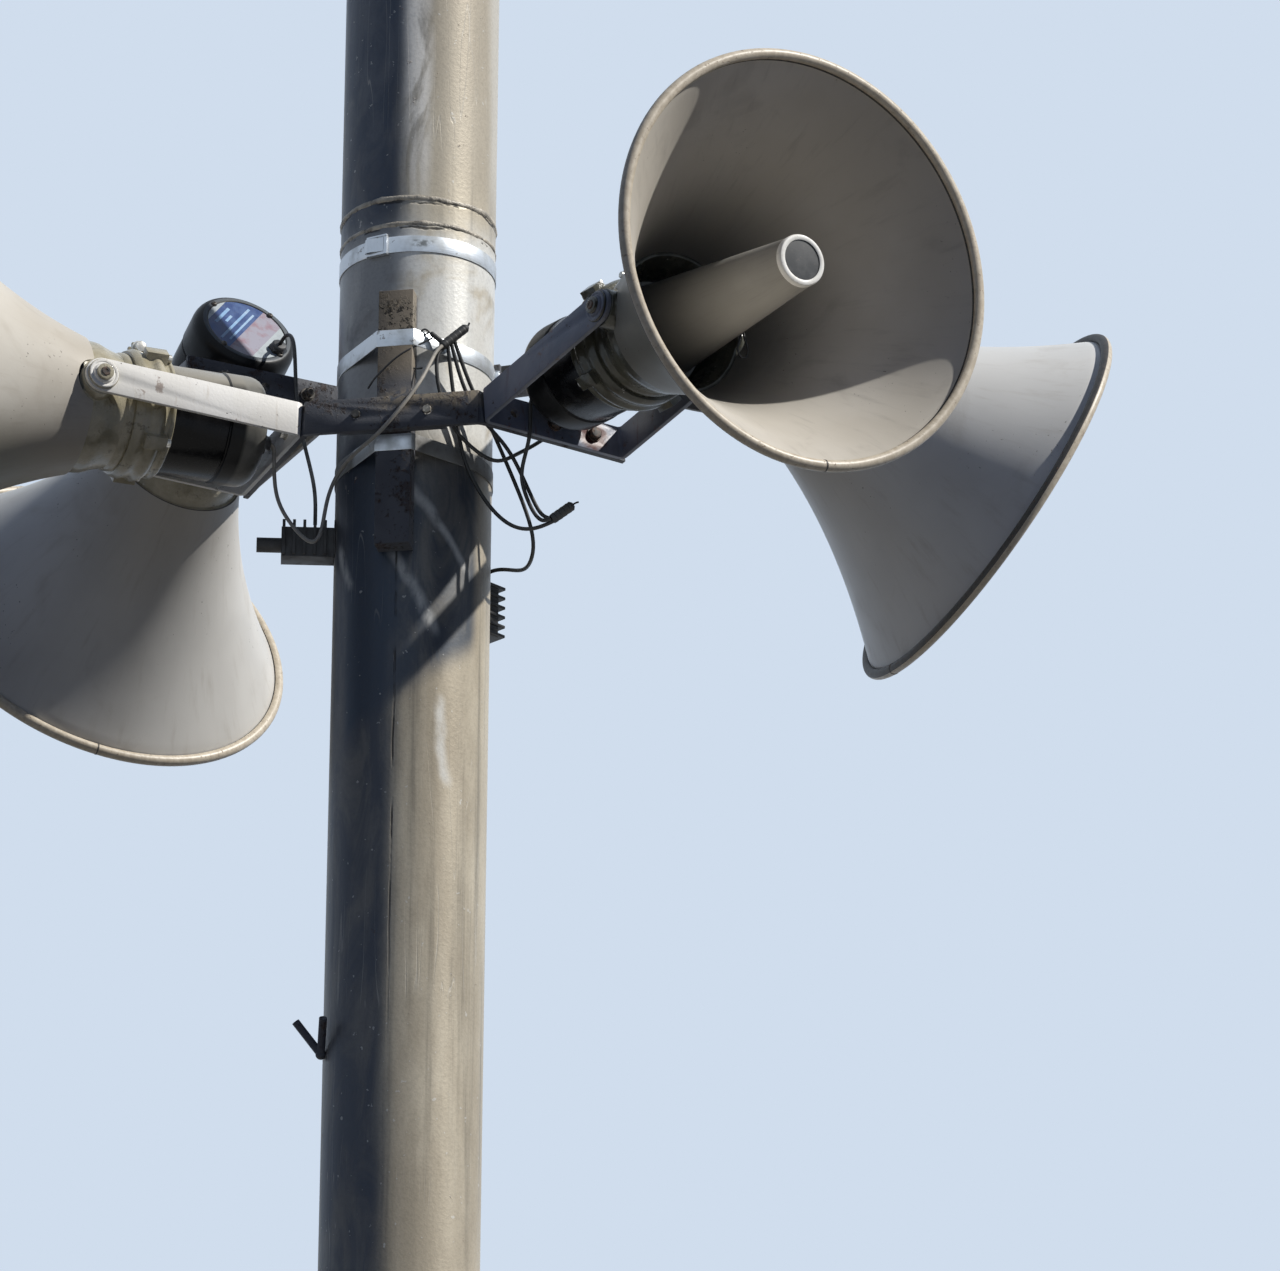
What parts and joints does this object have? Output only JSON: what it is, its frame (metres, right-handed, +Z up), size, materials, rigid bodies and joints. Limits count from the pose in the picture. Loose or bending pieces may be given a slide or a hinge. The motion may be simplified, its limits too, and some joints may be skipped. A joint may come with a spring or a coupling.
{
  "type": "warning horn pole",
  "caption": "Round steel pole on a bolted base plate, with horn loudspeakers that tilt in U brackets on a banded strip frame.",
  "frame": {"origin": "centre of the base plate's ground face, on the pole's axis", "axes": "+Z up along the pole, -Y towards the front strip, +X to the right seen from the front"},
  "size_m": [1.4889, 1.2206, 7.116],
  "materials": {
    "pole_steel": "weathered zinc paint, mottled",
    "stainless_band": "bright rolled",
    "rusty_steel": "dark grey, rusting",
    "bracket_paint": "light grey enamel",
    "horn_paint": "pale grey-beige paint",
    "cast_paint": "painted casting",
    "driver_paint": "satin black",
    "clamp_plastic": "matt black",
    "lead_rubber": "matt",
    "grey_lead_rubber": "matt"
  },
  "bodies": {
    "pole": {"base_plate": "pole_steel", "base_gussets": "pole_steel", "lower_pole": "pole_steel", "joint_ring": "pole_steel", "upper_pole": "pole_steel", "pole_cap": "pole_steel", "upper_band": "stainless_band", "middle_band": "stainless_band", "lower_band": "stainless_band", "front_post": "rusty_steel", "rear_post": "rusty_steel", "front_strip": "rusty_steel", "rear_strip": "rusty_steel", "left_cable_clamp": "clamp_plastic", "right_cable_clamp": "clamp_plastic", "lower_hook": "rusty_steel", "bracket_a": "bracket_paint", "bracket_b": "bracket_paint", "bracket_c": "bracket_paint", "bracket_d": "bracket_paint", "lead_a": "lead_rubber", "lead_b": "lead_rubber", "lead_c": "grey_lead_rubber", "lead_d": "lead_rubber", "joined_leads": "lead_rubber"},
    "horn_a": {"bell_a": "horn_paint", "reflector_a": "horn_paint", "neck_a": "cast_paint", "ring_a": "cast_paint", "driver_a": "driver_paint"},
    "horn_b": {"bell_b": "horn_paint", "reflector_b": "horn_paint", "neck_b": "cast_paint", "ring_b": "cast_paint", "driver_b": "driver_paint"},
    "horn_c": {"bell_c": "horn_paint", "reflector_c": "horn_paint", "neck_c": "cast_paint", "ring_c": "cast_paint", "driver_c": "driver_paint"},
    "horn_d": {"bell_d": "horn_paint", "reflector_d": "horn_paint", "neck_d": "cast_paint", "ring_d": "cast_paint", "driver_d": "driver_paint"}
  },
  "joints": [
    {"name": "horn_a_tilt", "type": "hinge", "parent": "pole", "child": "horn_a", "pos_m": [0.33565, -0.22822, 5.43382], "axis": [-0.7193, -0.6947, 0], "range_deg": [-46, 34], "deforming": ["lead_a"]},
    {"name": "horn_b_tilt", "type": "hinge", "parent": "pole", "child": "horn_b", "pos_m": [0.42095, 0.16023, 5.537], "axis": [0.5736, -0.8192, 0], "range_deg": [-24, 56], "deforming": ["lead_b"]},
    {"name": "horn_c_tilt", "type": "hinge", "parent": "pole", "child": "horn_c", "pos_m": [-0.35489, -0.17318, 5.41272], "axis": [-0.5446, 0.8387, 0], "range_deg": [-49, 31], "deforming": ["lead_c"]},
    {"name": "horn_d_tilt", "type": "hinge", "parent": "pole", "child": "horn_d", "pos_m": [-0.34303, 0.27616, 5.537], "axis": [0.7986, 0.6018, 0], "range_deg": [-23, 57], "deforming": ["lead_d"]}
  ]
}
